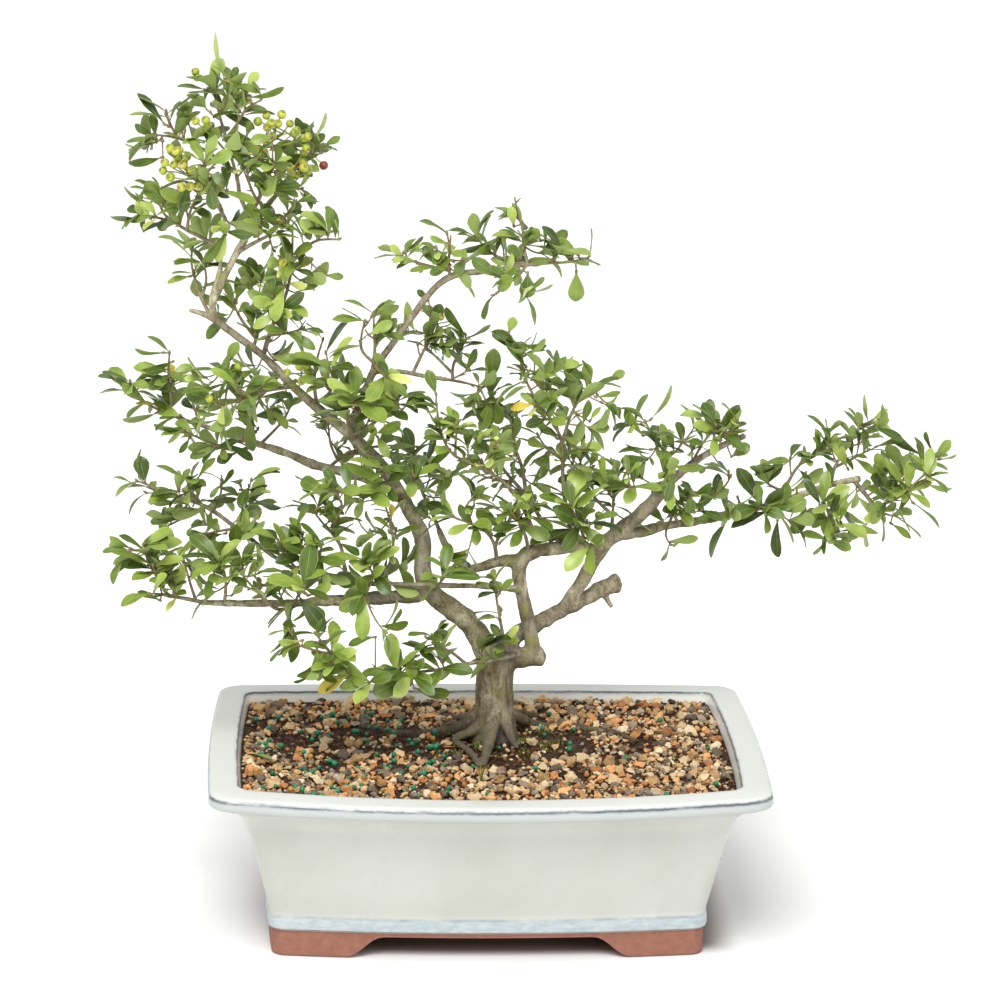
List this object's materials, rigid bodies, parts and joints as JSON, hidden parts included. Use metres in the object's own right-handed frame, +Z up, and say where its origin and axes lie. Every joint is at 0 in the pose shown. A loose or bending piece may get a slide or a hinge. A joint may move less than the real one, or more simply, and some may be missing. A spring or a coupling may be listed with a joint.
{
  "type": "potted bonsai tree",
  "caption": "Firethorn bonsai with open, spreading limbs, small glossy leaves and unripe berries, rooted in a glazed rectangular pot on a bare clay foot.",
  "frame": {"origin": "middle of the underside of the whole part's box, on the surface that the pot stands on", "axes": "+Z up, +X to the right of the pictured front, along the pot's long side, +Y to the back"},
  "size_m": [0.4746, 0.244, 0.4776],
  "materials": {
    "glaze": "glossy off-white grey-green glaze, bare terracotta foot",
    "soil": "damp dark soil with fine mixed gravel",
    "bark": "grey-brown lichened bark",
    "leaf": "half-glossy green leaves on reddish-brown young twigs",
    "berry": "waxy green-yellow unripe berries",
    "screen_plastic": "plain dark plastic mesh"
  },
  "bodies": {
    "root": {"back_inner": "leaf", "back_low": "leaf", "back_tip": "leaf", "berries_crown_left": "berry", "berries_crown_low": "berry", "berries_crown_right": "berry", "berries_crown_top": "berry", "berries_middle": "berry", "centre_arch": "leaf", "centre_front": "leaf", "centre_low": "leaf", "centre_upright": "leaf", "cross_tip": "leaf", "cross_up": "leaf", "crown_front": "leaf", "crown_inside": "leaf", "crown_left": "leaf", "crown_left_low": "leaf", "crown_middle": "leaf", "crown_right": "leaf", "crown_right_low": "leaf", "crown_stem": "leaf", "crown_stub": "leaf", "crown_top": "leaf", "curved_limb_up": "leaf", "drain_screen_left": "screen_plastic", "drain_screen_right": "screen_plastic", "far_hanging": "leaf", "far_low": "leaf", "far_middle": "leaf", "far_tall": "leaf", "far_tip": "leaf", "far_upright": "leaf", "fork_front": "leaf", "inner_front": "leaf", "inner_left": "leaf", "left_fork": "leaf", "left_limb_front": "leaf", "low_branch": "leaf", "low_front": "leaf", "low_left_inner": "leaf", "low_left_shoots": "leaf", "low_spur": "leaf", "low_tip": "leaf", "middle_left": "leaf", "pot": "glaze", "right_cut_limb": "leaf", "right_fork": "leaf", "right_front": "leaf", "right_upright": "leaf", "soil": "soil", "thin_limb_front": "leaf", "thin_limb_inner": "leaf", "thin_limb_upright": "leaf", "top_left": "leaf", "top_low": "leaf", "top_tip": "leaf", "trunk": "bark", "trunk_shoot": "leaf", "upright_left": "leaf"}
  },
  "joints": []
}
